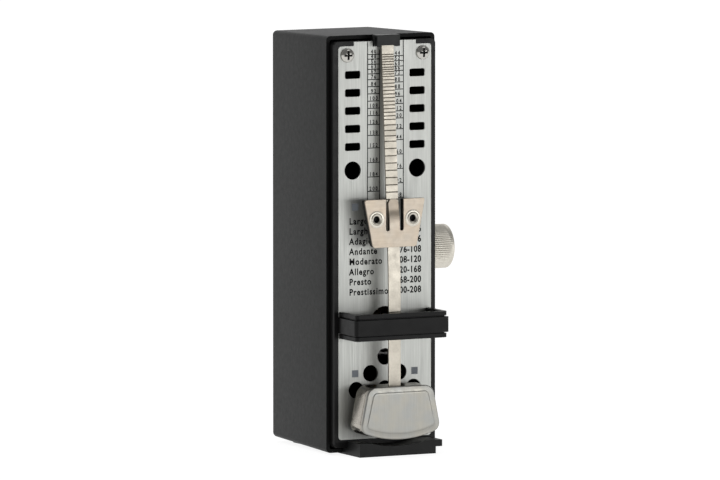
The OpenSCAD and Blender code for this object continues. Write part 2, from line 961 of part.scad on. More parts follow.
module escape_wheel(x, turn) {
  color([0.78, 0.66, 0.34])
    difference() {
      disc(x - escape_wheel_t / 2, escape_wheel_t)
        translate(escape_at)
          rotate(turn)
            saw_outline(escape_teeth, escape_r, escape_r - 1);
      x_bar(x - 1, 2, escape_at, arbor_r + snug);
    }
}

module escape_wheel_left() {
  escape_wheel(-escape_x, 0);
}

module escape_wheel_right() {
  escape_wheel(escape_x, 180 / escape_teeth);
}

// --- Pendulum ---

module pendulum_staff() {
  main_end = bearing_y - 0.2;
  color([0.6, 0.6, 0.6]) {
    y_bar(staff_front_y, main_end - staff_front_y, [0, pivot_z], staff_r);
    y_bar(staff_front_y - 1.6, main_end - staff_front_y + 3.4, [0, pivot_z], staff_pivot_r);
  }
}

// Two-armed fork whose pallets reach over the escape wheels
module pallet_fork() {
  color([0.7, 0.7, 0.72])
    difference() {
      union() {
        y_bar(escape_at[0] - 1.5, 3, [0, pivot_z], 2);
        translate([-escape_x - 0.7, escape_at[0] - 0.6, pivot_z - 0.4])
          cube([2 * escape_x + 1.4, 1.2, 0.9]);
        for (s = [-1, 1])
          translate([s * escape_x - 0.7, escape_at[0] - 0.6, pivot_z - 1.4])
            cube([1.4, 1.2, 1.9]);
      }
      y_bar(escape_at[0] - 3, 6, [0, pivot_z], staff_r + snug);
    }
}

// Hub behind the rod
module rod_collar() {
  color([0.6, 0.6, 0.58])
    difference() {
      union() {
        y_bar(rod_y + rod_t, collar_flange_t, [0, pivot_z], collar_flange_r);
        y_bar(rod_y + rod_t, collar_l, [0, pivot_z], collar_r);
      }
      y_bar(rod_y - 1, 7, [0, pivot_z], staff_r + snug);
    }
}

// Clamp plate in front of the rod
module rod_clamp() {
  color([0.66, 0.65, 0.62])
    difference() {
      slab(rod_y - clamp_t, clamp_t)
        translate([0, pivot_z])
          rounded_rect(clamp_w, clamp_h, 0.4);
      y_bar(rod_y - 2, 3, [0, pivot_z], staff_r + snug);
    }
}

// Distance of the rod's front face from the scale plate at height z: straight at the pivot,
// then bent back, because the tip is parked in the catch
function rod_off(z) = rod_base_off - (z < bend_z0 ? 0 :
  z < bend_z1 ? rod_slope * pow(z - bend_z0, 2) / (2 * (bend_z1 - bend_z0)) :
  rod_slope * ((bend_z1 - bend_z0) / 2 + z - bend_z1));

module pendulum_rod() {
  heights = concat([rod_z0], [for (z = [bend_z0:2:bend_z1]) z], [rod_top_z]);
  front = [for (z = heights) [face_y - rod_off(z), z]];
  back = [for (i = [len(heights) - 1:-1:0]) [face_y - rod_off(heights[i]) + rod_t, heights[i]]];
  color([0.75, 0.72, 0.66])
    difference() {
      disc(-rod_w / 2, rod_w)
        polygon(concat(front, back));
      y_bar(rod_y - 2, 4, [0, pivot_z], staff_r + snug);
      for (z = bob_rivet_z)
        y_bar(rod_y - 2, 4, [0, z], bob_rivet_r + snug);
    }
}

// Outline of the bob: straight sides, rounded corners, bottom edge round the pivot
function bob_points(inset) =
  let (top = [bob_top_half - inset, bob_top_z - inset])
  let (wide = [bob_half_w - inset, bob_wide_z])
  let (side = unit(wide - top), r = bob_r - inset, from_pivot = top - [0, pivot_z])
  let (b = from_pivot * side, c = from_pivot * from_pivot - r * r)
  let (low = top + side * (-b + sqrt(b * b - c)))
  let (a = asin(low[0] / r), n = 6)
  let (arc = [for (i = [-n:n]) [0, pivot_z] + polar(r, -90 - (a - bob_corner_turn) * i / n)])
  rounded(concat([[-top[0], top[1]], top, low], arc, [[-low[0], low[1]]]),
    concat([bob_top_corner_r, bob_top_corner_r, bob_low_corner_r], [for (p = arc) 0],
      [bob_low_corner_r]));

module bob_back() {
  color([0.62, 0.62, 0.6])
    difference() {
      slab(face_y - bob_off - bob_back_t, bob_back_t)
        polygon(bob_points(0));
      translate([-rod_w / 2 - 0.05, rod_y - 0.05, rod_z0 - 0.1])
        cube([rod_w + 0.1, rod_t + 0.1, 20]);
      for (z = bob_rivet_z)
        y_bar(face_y - bob_off - bob_rivet_l - 0.1, bob_rivet_l + 1.1, [0, z], bob_rivet_r + snug);
    }
}

module bob_front() {
  front_t = bob_t - bob_back_t;
  color([0.64, 0.64, 0.62])
    slab(face_y - bob_off - bob_t, front_t)
      polygon(bob_points(bob_inset));
}

module bob_rivets() {
  color([0.6, 0.6, 0.6])
    for (z = bob_rivet_z) {
      y_bar(face_y - bob_off - bob_rivet_l, bob_rivet_l, [0, z], bob_rivet_r);
      y_bar(face_y - bob_off, bob_rivet_head_t, [0, z], bob_rivet_head_r);
    }
}

// --- Sliding weight ---

function slider_points(inset) =
  let (z1 = slider_top_z - inset, z0 = slider_top_z - slider_h + inset)
  let (a = slider_half_w - inset, b = slider_bottom_half - inset)
  rounded([[-a, z1], [a, z1], [b, z0], [-b, z0]], [0.5, 0.5, 1, 1]);

module tongue_outline(h) {
  polygon([[-tongue_half, 0], [tongue_half, 0], [tongue_half, h - 1.3],
    [tongue_half - 0.7, h], [-tongue_half + 0.7, h], [-tongue_half, h - 1.3]]);
}

module slider_plate() {
  slot_end = slider_top_z - tongue_slot_h;
  bend_z = slider_top_z - tongue_bend_h;
  slot_at = tongue_half + tongue_slot_w / 2;
  y0 = face_y - slider_off;
  color([0.84, 0.79, 0.73]) {
    difference() {
      slab(y0, slider_t)
        difference() {
          polygon(slider_points(0));
          for (s = [-1, 1]) {
            translate([s * slot_at, slot_end + tongue_slot_w / 2])
              circle(tongue_slot_w / 2);
            translate([s * slot_at - tongue_slot_w / 2, slot_end + tongue_slot_w / 2])
              square([tongue_slot_w, tongue_slot_h]);
          }
          translate([-tongue_half - 0.1, bend_z])
            square([2 * tongue_half + 0.2, 10]);
        }
      both_sides()
        y_bar(y0 - 1, 3, [rivet_x, rivet_z], rivet_r + snug);
    }
    translate([0, y0, bend_z - eps])
      rotate([-tongue_bend, 0, 0])
        slab(0, slider_t)
          tongue_outline(tongue_bend_h);
  }
}

module slider_block() {
  color([0.3, 0.3, 0.3])
    difference() {
      slab(face_y - slider_off + slider_t, slider_off - slider_t - block_off)
        difference() {
          polygon(slider_points(block_inset));
          translate([-channel_half, 0])
            square([2 * channel_half, 200]);
        }
      both_sides()
        y_bar(face_y - slider_off - 1, 9, [rivet_x, rivet_z], rivet_r + snug);
    }
}

module slider_rivets() {
  y0 = face_y - slider_off;
  color([0.85, 0.81, 0.75])
    both_sides()
      difference() {
        union() {
          y_bar(y0 - 0.25, 0.25, [rivet_x, rivet_z], rivet_flange_r);
          y_bar(y0 - 0.1, slider_off - block_off + 0.25, [rivet_x, rivet_z], rivet_r);
          y_bar(face_y - block_off, 0.15, [rivet_x, rivet_z], rivet_flange_r);
        }
        y_bar(y0 - 1, 9, [rivet_x, rivet_z], rivet_hole_r);
      }
}

casing();
casing_screws();
front_frame();
scale_plate();
plate_screws();
pendulum_catch();
bridge();
bridge_screws();
base_foot();
base_screws();
movement_plate_left();
movement_plate_right();
movement_pillars();
pillar_screws();
movement_screws();
rear_bearing_bracket();
winding_knob();
winding_arbor();
ratchet_wheel();
click();
click_screw();
click_spring();
spring_barrel();
barrel_cover();
great_wheel();
mainspring();
third_arbor();
third_wheel();
third_pinion();
escape_arbor();
escape_pinion();
escape_wheel_left();
escape_wheel_right();
pendulum_staff();
pallet_fork();
rod_collar();
rod_clamp();
pendulum_rod();
bob_back();
bob_front();
bob_rivets();
slider_plate();
slider_block();
slider_rivets();
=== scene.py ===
"""Looks for a key-wound pendulum metronome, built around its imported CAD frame.

Shapes are worked out in millimetres and become metres when a mesh is made. X points right seen
from the front, Y to the back and Z up, as in the CAD. A loop is a list of (x, z) points.
"""

import math

import bmesh
import bpy
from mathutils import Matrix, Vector
from mathutils.geometry import delaunay_2d_cdt


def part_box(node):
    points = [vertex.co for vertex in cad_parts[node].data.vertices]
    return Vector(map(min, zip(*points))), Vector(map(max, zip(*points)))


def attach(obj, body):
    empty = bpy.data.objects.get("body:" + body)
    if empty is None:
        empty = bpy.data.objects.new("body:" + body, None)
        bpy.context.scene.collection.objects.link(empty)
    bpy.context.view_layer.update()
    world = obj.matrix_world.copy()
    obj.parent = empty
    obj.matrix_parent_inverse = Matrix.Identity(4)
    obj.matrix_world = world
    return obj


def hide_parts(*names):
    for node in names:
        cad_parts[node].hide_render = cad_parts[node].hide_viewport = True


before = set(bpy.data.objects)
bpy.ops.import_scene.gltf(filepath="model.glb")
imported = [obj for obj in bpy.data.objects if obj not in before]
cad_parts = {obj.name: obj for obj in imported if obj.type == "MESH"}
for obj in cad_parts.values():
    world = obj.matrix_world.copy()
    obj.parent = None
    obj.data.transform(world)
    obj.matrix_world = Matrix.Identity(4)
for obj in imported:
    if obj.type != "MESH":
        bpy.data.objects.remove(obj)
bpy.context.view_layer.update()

MM = 0.001


def box_of(node):
    """Lowest and highest corner of a CAD node, in millimetres."""
    low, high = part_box(node)
    return low / MM, high / MM


PLATE_LOW, PLATE_HIGH = box_of("scale_plate")
ROD_LOW, ROD_HIGH = box_of("pendulum_rod")
KNOB_LOW, KNOB_HIGH = box_of("winding_knob")
SLIDER_LOW, SLIDER_HIGH = box_of("slider_plate")
BOB_LOW, BOB_HIGH = box_of("bob_back")
FACE_LOW, FACE_HIGH = box_of("bob_front")
BLOCK_LOW = box_of("slider_block")[0]
COLLAR_LOW, COLLAR_HIGH = box_of("rod_collar")
PLATE_Y = PLATE_LOW.y
PIVOT_Z = (COLLAR_LOW.z + COLLAR_HIGH.z) / 2


# --- Materials ---

SHELL_COLOR = (0.0146, 0.0152, 0.0149)
SHELL_SPECULAR = 0.12
# painted shade: the colour of front-facing faces is darkened to this share, standing in for the darker
# look of the rim under the studio light
PAINTED_RIM_SHADE = 0.4  # the casing's front rim, as a share of its colour


def map_range(tree, value, start, end, low, high):
    """Maps value from start..end to low..high, clamped at both ends."""
    node = tree.nodes.new("ShaderNodeMapRange")
    node.inputs["From Min"].default_value = start
    node.inputs["From Max"].default_value = end
    node.inputs["To Min"].default_value = low
    node.inputs["To Max"].default_value = high
    tree.links.new(value, node.inputs["Value"])
    return node.outputs["Result"]


class Finish:
    """A Principled material whose colour, roughness and bump come from procedural textures."""

    def __init__(self, name, color, metallic=0.0, roughness=0.5, specular=0.5):
        self.material = bpy.data.materials.new(name)
        self.material.use_nodes = True
        self.material.diffuse_color = (*color, 1)
        self.tree = self.material.node_tree
        self.shader = self.tree.nodes["Principled BSDF"]
        self.shader.inputs["Base Color"].default_value = (*color, 1)
        self.shader.inputs["Metallic"].default_value = metallic
        self.shader.inputs["Roughness"].default_value = roughness
        self.shader.inputs["Specular IOR Level"].default_value = specular
        self.normal = None

    def noise(self, size, stretch=(1, 1, 1), detail=2.0):
        """Noise in the piece's own space; size is its grain in millimetres."""
        place = self.tree.nodes.new("ShaderNodeTexCoord")
        mapping = self.tree.nodes.new("ShaderNodeMapping")
        mapping.inputs["Scale"].default_value = [1 / (MM * size * s) for s in stretch]
        texture = self.tree.nodes.new("ShaderNodeTexNoise")
        texture.inputs["Scale"].default_value = 1.0
        texture.inputs["Detail"].default_value = detail
        self.tree.links.new(place.outputs["Object"], mapping.inputs["Vector"])
        self.tree.links.new(mapping.outputs["Vector"], texture.inputs["Vector"])
        return texture.outputs["Fac"]

    def ramp(self, value, start, end, low, high):
        """Maps value in this material's own tree."""
        return map_range(self.tree, value, start, end, low, high)

    def spread(self, value, low, high):
        """Maps the middle of a noise to the range from low to high."""
        return self.ramp(value, 0.3, 0.7, low, high)

    def mix_color(self, factor, a, b):
        """Blends a into b, each a colour or the output of another blend."""
        mix = self.tree.nodes.new("ShaderNodeMix")
        mix.data_type = "RGBA"
        sockets = [socket for socket in mix.inputs if socket.type == "RGBA"]
        for socket, color in zip(sockets, (a, b)):
            if isinstance(color, tuple):
                socket.default_value = (*color, 1)
            else:
                self.tree.links.new(color, socket)
        self.tree.links.new(factor, mix.inputs["Factor"])
        output = [socket for socket in mix.outputs if socket.type == "RGBA"][0]
        self.tree.links.new(output, self.shader.inputs["Base Color"])
        return output

    def vary_color(self, value, dark, light):
        """Lets a noise run the base colour from dark to light; returns the blend."""
        return self.mix_color(self.spread(value, 0, 1), dark, light)

    def vary_roughness(self, value, low, high):
        """Lets a noise run the roughness from low to high."""
        self.tree.links.new(self.spread(value, low, high), self.shader.inputs["Roughness"])

    def add_bump(self, value, depth, strength=1.0):
        """Raises the surface by value, over depth in millimetres; each call adds to the last."""
        bump = self.tree.nodes.new("ShaderNodeBump")
        bump.inputs["Distance"].default_value = depth * MM
        bump.inputs["Strength"].default_value = strength
        self.tree.links.new(value, bump.inputs["Height"])
        if self.normal is not None:
            self.tree.links.new(self.normal, bump.inputs["Normal"])
        self.normal = bump.outputs["Normal"]
        self.tree.links.new(self.normal, self.shader.inputs["Normal"])


def scaled(color, factor):
    """A colour made darker or lighter by a factor."""
    return tuple(c * factor for c in color)


def moulded(name, color, roughness, specular, grain, depth):
    """Moulded plastic: fine grain, faint cloudiness in colour and gloss."""
    finish = Finish(name, color, 0.0, roughness, specular)
    finish.vary_color(finish.noise(9, detail=4), scaled(color, 0.85), scaled(color, 1.2))
    finish.vary_roughness(finish.noise(2.5, detail=3), roughness - 0.05, roughness + 0.06)
    finish.add_bump(finish.noise(grain, detail=2), depth, 0.7)
    return finish.material


def plated(name, color, roughness, grain=0.5, wave=0.02):
    """Satin plated metal: tiny mottling and slow waviness of the surface."""
    finish = Finish(name, color, 1.0, roughness)
    finish.vary_color(finish.noise(grain, detail=4), scaled(color, 0.93), scaled(color, 1.05))
    finish.vary_roughness(finish.noise(3, detail=4), roughness - 0.05, roughness + 0.07)
    finish.add_bump(finish.noise(4, detail=2), wave, 0.4)
    finish.add_bump(finish.noise(grain * 0.5, detail=3), 0.004, 0.5)
    return finish.material


def brushed(name, color, roughness, along, width=0.35, contrast=0.1):
    """Metal with straight brush lines along one axis, 0 for X, 1 for Y or 2 for Z."""
    stretch = [60 if axis == along else 1 for axis in range(3)]
    finish = Finish(name, color, 1.0, roughness)
    streaks = finish.noise(width, stretch, 3)
    finish.vary_color(streaks, scaled(color, 1 - contrast), scaled(color, 1 + contrast * 0.6))
    finish.vary_roughness(finish.noise(width * 0.6, stretch, 2), roughness - 0.06, roughness + 0.08)
    finish.add_bump(finish.noise(width * 0.4, stretch, 2), 0.006, 0.6)
    return finish.material


def clouded(name, warm, cool, roughness, along):
    """Rubbed nickel: large clouds between two tones under faint lines along one axis."""
    stretch = [30 if axis == along else 1 for axis in range(3)]
    finish = Finish(name, warm, 1.0, roughness)
    streaks = finish.noise(0.4, stretch, 3)
    tones = []
    for tone in (warm, cool):
        tones.append(finish.vary_color(streaks, scaled(tone, 0.95), scaled(tone, 1.04)))
    finish.mix_color(finish.spread(finish.noise(5, detail=4), 0, 1), *tones)
    finish.vary_roughness(finish.noise(1.5, detail=4), roughness - 0.04, roughness + 0.06)
    finish.add_bump(finish.noise(4, detail=2), 0.01, 0.4)
    finish.add_bump(streaks, 0.004, 0.5)
    return finish.material


def shell_plastic():
    """The casing's grained plastic, with painted shade on its front rim: faces that look to the front get
    a darker colour.
    """
    color = SHELL_COLOR
    finish = Finish("casing_plastic", color, 0.0, 0.5, SHELL_SPECULAR)
    grey = finish.vary_color(finish.noise(1.2, detail=4), scaled(color, 0.88), scaled(color, 1.14))
    finish.vary_roughness(finish.noise(1.5, detail=3), 0.48, 0.54)
    finish.add_bump(finish.noise(0.45, detail=2), 0.05, 0.7)
    # painted shade: the colour darkens where the face's normal points to the front
    place = finish.tree.nodes.new("ShaderNodeTexCoord")
    axes = finish.tree.nodes.new("ShaderNodeSeparateXYZ")
    finish.tree.links.new(place.outputs["Normal"], axes.inputs["Vector"])
    painted_rim_shade_mask = finish.ramp(axes.outputs["Y"], -0.95, -0.5, 0, 1)
    finish.mix_color(painted_rim_shade_mask, scaled(color, PAINTED_RIM_SHADE), grey)
    return finish.material


MATERIALS = {
    "casing_plastic": shell_plastic(),
    "chassis_plastic": moulded("chassis_plastic", (0.006, 0.006, 0.006), 0.34, 0.18, 1.6, 0.01),
    "base_plastic": moulded("base_plastic", (0.006, 0.0063, 0.0061), 0.42, 0.2, 0.5, 0.02),
    "scale_aluminium": brushed("scale_aluminium", (0.475, 0.483, 0.46), 0.46, 2),
    "black_lacquer": moulded("black_lacquer", (0.004, 0.004, 0.004), 0.36, 0.16, 0.9, 0.015),
    "bright_screw": plated("bright_screw", (0.52, 0.51, 0.475), 0.13, 0.3),
    "dark_screw": plated("dark_screw", (0.05, 0.05, 0.052), 0.35, 0.3),
    "brass_plate": brushed("brass_plate", (0.62, 0.45, 0.18), 0.34, 2),
    "brass_wheel": plated("brass_wheel", (0.7, 0.51, 0.2), 0.25),
    "arbor_steel": brushed("arbor_steel", (0.5, 0.5, 0.5), 0.28, 0, 0.2),
    "hardened_steel": brushed("hardened_steel", (0.36, 0.36, 0.37), 0.36, 1, 0.2),
    "spring_steel": plated("spring_steel", (0.14, 0.17, 0.24), 0.3),
    "rod_nickel": plated("rod_nickel", (0.455, 0.424, 0.365), 0.36, 0.6),
    "bob_nickel": plated("bob_nickel", (0.43, 0.405, 0.36), 0.2, 0.9, 0.02),
    "bob_face_nickel": clouded("bob_face_nickel", (0.325, 0.312, 0.275), (0.29, 0.295, 0.285), 0.32, 2),
    "slider_nickel": clouded("slider_nickel", (0.43, 0.365, 0.29), (0.4, 0.355, 0.3), 0.36, 0),
    "rivet_nickel": plated("rivet_nickel", (0.6, 0.57, 0.5), 0.3, 0.5),
    "slider_core": moulded("slider_core", (0.006, 0.006, 0.006), 0.45, 0.2, 0.5, 0.02),
    "knob_nickel": plated("knob_nickel", (0.67, 0.64, 0.57), 0.44, 0.5),
    # dark metal for painted shade at the bottom of the rod's cuts
    "painted_groove_shade": plated("painted_groove_shade", (0.1, 0.09, 0.08), 0.5, 0.3),
    # near-black material for painted shade inside screw recesses and rivet bores
    "recess": moulded("recess", (0.012, 0.012, 0.011), 0.5, 0.3, 0.4, 0.01),
    "catch_plastic": moulded("catch_plastic", (0.012, 0.0125, 0.0122), 0.4, 0.22, 0.8, 0.015),
    "ink": moulded("ink", (0.004, 0.004, 0.0045), 0.6, 0.12, 0.4, 0.004),
    "square_ink": moulded("square_ink", (0.185, 0.2, 0.22), 0.6, 0.25, 0.4, 0.004),
}


# --- Mesh making ---

EDGE_ANGLE = 30  # an edge that turns by more degrees than this is rounded
SHARP_ANGLE = 35  # and on a piece without rounding, one that turns by more than this looks sharp
WELD_GAP = 0.002
FLAT_ANGLE = 0.5


def remove_split_normals(mesh):
    """Drops the imported normals, so that the modifiers below can make new ones."""
    for name in ("custom_normal", "sharp_edge", "sharp_face"):
        attribute = mesh.attributes.get(name)
        if attribute is not None:
            mesh.attributes.remove(attribute)


def round_edges(obj, width, segments=3, clamp=True):
    """Rounds the edges that turn by more than EDGE_ANGLE."""
    bevel = obj.modifiers.new("edges", "BEVEL")
    bevel.limit_method = "ANGLE"
    bevel.angle_limit = math.radians(EDGE_ANGLE)
    bevel.width = width * MM
    bevel.segments = segments
    bevel.use_clamp_overlap = clamp
    bevel.harden_normals = True


def carry_over(node, edge):
    """Shows a CAD node with softened edges; its faces are joined again before they are rounded."""
    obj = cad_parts[node]
    remove_split_normals(obj.data)
    obj.data.shade_smooth()
    weld = obj.modifiers.new("weld", "WELD")
    weld.merge_threshold = WELD_GAP * MM
    flats = obj.modifiers.new("flats", "DECIMATE")
    flats.decimate_type = "DISSOLVE"
    flats.angle_limit = math.radians(FLAT_ANGLE)
    round_edges(obj, edge)


def make_piece(name, bm, body, slot, replaced=(), edge=0.0, material=None):
    """Turns a bmesh in millimetres into a piece that rides on a body.

    edge rounds its edges; without it they are only shaded. material is the slot's own by default.
    """
    bmesh.ops.scale(bm, vec=(MM, MM, MM), verts=bm.verts)
    bmesh.ops.recalc_face_normals(bm, faces=bm.faces)
    mesh = bpy.data.meshes.new(name)
    bm.to_mesh(mesh)
    bm.free()
    mesh.shade_smooth()
    obj = bpy.data.objects.new(name, mesh)
    bpy.context.scene.collection.objects.link(obj)
    mesh.materials.append(MATERIALS[material or slot])
    if edge:
        round_edges(obj, edge, clamp=False)
    else:
        mesh.set_sharp_from_angle(angle=math.radians(SHARP_ANGLE))
    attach(obj, body)
    if replaced:
        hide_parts(*replaced)
    return obj


def arc(center, radius, start, end, steps):
    """Points of a circular arc between two angles in degrees."""
    angles = [math.radians(start + (end - start) * i / steps) for i in range(steps + 1)]
    return [(center[0] + radius * math.cos(a), center[1] + radius * math.sin(a)) for a in angles]


def rounded_corner(a, b, c, radius, steps=7):
    """Points that round the corner at b between a and c."""
    a, b, c = Vector(a), Vector(b), Vector(c)
    u = (a - b).normalized()
    v = (c - b).normalized()
    half = math.acos(u.dot(v)) / 2
    center = b + (u + v).normalized() * radius / math.sin(half)
    first = b + u * radius / math.tan(half) - center
    last = b + v * radius / math.tan(half) - center
    start = math.degrees(math.atan2(first.y, first.x))
    turn = math.degrees(math.atan2(last.y, last.x)) - start
    turn = (turn + 180) % 360 - 180
    return arc(center, radius, start, start + turn, steps)


def rounded_loop(points, radii, steps=7):
    """A loop with every corner rounded by its own radius; 0 leaves the point as it is."""
    loop = []
    for i, point in enumerate(points):
        before = points[i - 1]
        after = points[(i + 1) % len(points)]
        loop += rounded_corner(before, point, after, radii[i], steps) if radii[i] else [tuple(point)]
    return loop


def circle_loop(center, radius, steps=48):
    """A full circle that doesn't repeat its first point."""
    return arc(center, radius, 0, 360 * (steps - 1) / steps, steps - 1)


def is_inside(point, loop):
    """Even-odd test of a point against a loop."""
    found = False
    for i, a in enumerate(loop):
        b = loop[i - 1]
        if (a[1] > point[1]) != (b[1] > point[1]):
            if point[0] < (b[0] - a[0]) * (point[1] - a[1]) / (b[1] - a[1]) + a[0]:
                found = not found
    return found


def plate_mesh(loops, y0, y1, lines=()):
    """Closed plate from y0 to y1: the first loop is its outline, the others are holes.

    lines are extra (start, end) pairs that the triangles follow, where the plate will be bent.
    """
    points = []
    edges = []
    for loop in loops:
        first = len(points)
        points += [Vector(p) for p in loop]
        edges += [(first + i, first + (i + 1) % len(loop)) for i in range(len(loop))]
    for start, end in lines:
        edges.append((len(points), len(points) + 1))
        points += [Vector(start), Vector(end)]
    flat, _, faces = delaunay_2d_cdt(points, edges, [], 1, 1e-5)[:3]
    kept = []
    for face in faces:
        middle = sum((flat[i] for i in face), Vector((0, 0))) / len(face)
        if is_inside(middle, loops[0]) and not any(is_inside(middle, hole) for hole in loops[1:]):
            kept.append(face)
    bm = bmesh.new()
    used = sorted({i for face in kept for i in face})
    front = {i: bm.verts.new((flat[i].x, y0, flat[i].y)) for i in used}
    back = {i: bm.verts.new((flat[i].x, y1, flat[i].y)) for i in used}
    sides = {(face[i - 1], face[i]) for face in kept for i in range(len(face))}
    for face in kept:
        bm.faces.new([front[i] for i in face])
        bm.faces.new([back[i] for i in reversed(face)])
    for a, b in sides:
        if (b, a) not in sides:
            bm.faces.new([front[b], front[a], back[a], back[b]])
    return bm


def skin_rings(bm, rings):
    """Joins a row of rings of points, all of one length, into one closed surface."""
    rows = [[bm.verts.new(p) for p in ring] for ring in rings]
    count = len(rows[0])
    for low, high in zip(rows, rows[1:]):
        for i in range(count):
            j = (i + 1) % count
            bm.faces.new([low[i], low[j], high[j], high[i]])
    bm.faces.new(rows[0][::-1])
    bm.faces.new(rows[-1])
    return bm


def turned(profile, center):
    """Turns a profile of (radius, y) points about the line along Y through center (x, z)."""
    rings = []
    for radius, y in profile:
        rings.append([(x, y, z) for x, z in circle_loop(center, radius)])
    return skin_rings(bmesh.new(), rings)


def cut(bm, cutter):
    """Takes the closed mesh cutter out of the closed mesh bm."""
    meshes = []
    for part in (bm, cutter):
        bmesh.ops.recalc_face_normals(part, faces=part.faces)
        mesh = bpy.data.meshes.new("cut")
        part.to_mesh(mesh)
        part.free()
        meshes.append(mesh)
    objects = [bpy.data.objects.new("cut", mesh) for mesh in meshes]
    for obj in objects:
        bpy.context.scene.collection.objects.link(obj)
    boolean = objects[0].modifiers.new("cut", "BOOLEAN")
    boolean.operation = "DIFFERENCE"
    boolean.solver = "EXACT"
    boolean.object = objects[1]
    graph = bpy.context.evaluated_depsgraph_get()
    result = bmesh.new()
    result.from_mesh(objects[0].evaluated_get(graph).to_mesh())
    for obj, mesh in zip(objects, meshes):
        bpy.data.objects.remove(obj)
        bpy.data.meshes.remove(mesh)
    return result


# --- Chassis ---

SOFT_EDGES = {
    "casing": 0.15, "front_frame": 0.18, "scale_plate": 0.1, "pendulum_catch": 0.15,
    "bridge": 0.24, "base_foot": 0.2, "casing_screws": 0.08, "base_screws": 0.08,
    "bridge_screws": 0.08, "rod_collar": 0.12, "rod_clamp": 0.12, "slider_block": 0.3,
    "pallet_fork": 0.08, "click": 0.1, "rear_bearing_bracket": 0.1,
    "movement_plate_left": 0.1, "movement_plate_right": 0.1, "winding_arbor": 0.12,
}


def show_cad_nodes():
    """Every carried-over node takes the material of its slot, and visible ones softer edges."""
    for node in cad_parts.values():
        for slot in node.material_slots:
            slot.material = MATERIALS[slot.material.name.split(".")[0]]
    for node, edge in SOFT_EDGES.items():
        carry_over(node, edge)
    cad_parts["pendulum_catch"].material_slots[0].material = MATERIALS["catch_plastic"]


def cross_loop(center, reach, half):
    """Outline of a cross with arms of the given reach and half width."""
    arms = []
    for quarter in range(4):
        turn = math.radians(90 * quarter)
        for along, across in ((reach, -half), (reach, half), (half, half)):
            x = along * math.cos(turn) - across * math.sin(turn)
            z = along * math.sin(turn) + across * math.cos(turn)
            arms.append((center[0] + x, center[1] + z))
    return arms


SCREW_RIM = 0.3  # height of the head's upright rim, as a share of the head's height
SCREW_SHANK = 0.9
CROSS_REACH = 0.62  # half length and half width of the cross recess, as shares of the head's radius
CROSS_HALF = 0.15


def dome_height(radius, height, r):
    """How far a screw head stands out at distance r from its centre."""
    return height * (SCREW_RIM + (1 - SCREW_RIM) * math.sqrt(max(0.0, 1 - (r / radius) ** 2)))


def plate_screw_heads():
    """Two domed screws with cross recesses at the top corners of the scale plate; the faces inside the
    recesses get painted shade.
    """
    low, high = box_of("plate_screws")
    radius = (high.z - low.z) / 2
    height = PLATE_Y - low.y
    middle_z = (low.z + high.z) / 2
    for side, name in ((-1, "left"), (1, "right")):
        center = (side * (high.x - radius), middle_z)
        steps = [radius * math.cos(math.radians(angle)) for angle in range(0, 88, 8)]
        dome = [(r, PLATE_Y - dome_height(radius, height, r)) for r in steps]
        profile = [(SCREW_SHANK, high.y), (SCREW_SHANK, PLATE_Y), (radius, PLATE_Y)] + dome
        head = turned(profile, center)
        recess = bmesh.new()
        rings = []
        # (depth below the top of the head, size of the cross there)
        for depth, size in ((-0.3, 1.2), (0.4, 0.95), (0.85, 0.4)):
            loop = cross_loop(center, radius * CROSS_REACH * size, radius * CROSS_HALF * size)
            rings.append([(x, low.y + depth, z) for x, z in loop])
        skin_rings(recess, rings)
        head = cut(head, recess)
        for face in head.faces:
            middle = face.calc_center_median()
            r = math.hypot(middle.x - center[0], middle.z - center[1])
            front = PLATE_Y - dome_height(radius, height, r)
            # painted shade: faces down inside the cross recess take the near-black material
            if r < radius * 0.8 and front + 0.06 < middle.y < PLATE_Y:
                face.material_index = 1
        piece = make_piece(f"plate_screw_{name}", head, "chassis", "bright_screw")
        piece.data.materials.append(MATERIALS["recess"])
        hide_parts("plate_screws")


# --- Winding knob ---

KNOB_RIBS = 64
KNOB_BAND = 1.2
KNOB_RIM = 0.4
RIB_DEPTH = 0.24
POINTS_PER_RIB = 6


def winding_knob():
    """Ribbed drum with a smooth band and a rounded rim at its outer end."""
    x0, x1 = KNOB_LOW.x, KNOB_HIGH.x
    radius = (KNOB_HIGH.z - KNOB_LOW.z) / 2
    middle = ((KNOB_LOW.y + KNOB_HIGH.y) / 2, (KNOB_LOW.z + KNOB_HIGH.z) / 2)
    # (distance along the knob, radius taken off, depth of the ribs)
    stations = [(x0, 0.8, 0), (x0 + 0.25, 0.25, 0.05), (x0 + 0.6, 0, RIB_DEPTH),
                (x1 - KNOB_BAND - 0.4, 0, RIB_DEPTH), (x1 - KNOB_BAND, 0.04, 0.02)]
    for step in range(7):
        angle = math.radians(15 * step)
        stations.append((x1 - KNOB_RIM + KNOB_RIM * math.sin(angle), KNOB_RIM * (1 - math.cos(angle)), 0))
    stations += [(x1, 2.0, 0), (x1 - 0.25, 2.4, 0), (x1 - 0.25, 6.0, 0)]
    count = KNOB_RIBS * POINTS_PER_RIB
    rings = []
    for x, less, depth in stations:
        ring = []
        for i in range(count):
            wave = abs(math.sin(math.pi * i / POINTS_PER_RIB)) ** 0.7
            r = radius - less - depth * (1 - wave)
            turn = 2 * math.pi * i / count
            ring.append((x, middle[0] + r * math.cos(turn), middle[1] + r * math.sin(turn)))
        rings.append(ring)
    bm = skin_rings(bmesh.new(), rings)
    make_piece("winding_knob_ribbed", bm, "winder", "knob_nickel", ("winding_knob",))


# --- Pendulum rod ---

TEMPO_TOP_Z = 134.37
EVEN_TEMPO = 84  # above this tempo the lines are evenly spaced
SLOW_STEP = 0.185
SLOW_GROWTH = 0.00137
FAST_STEP = 0.3035
BEND_Z0 = 50.0
BEND_Z1 = 68.0
GROOVE_HALF = 0.17
GROOVE_DEPTH = 0.16


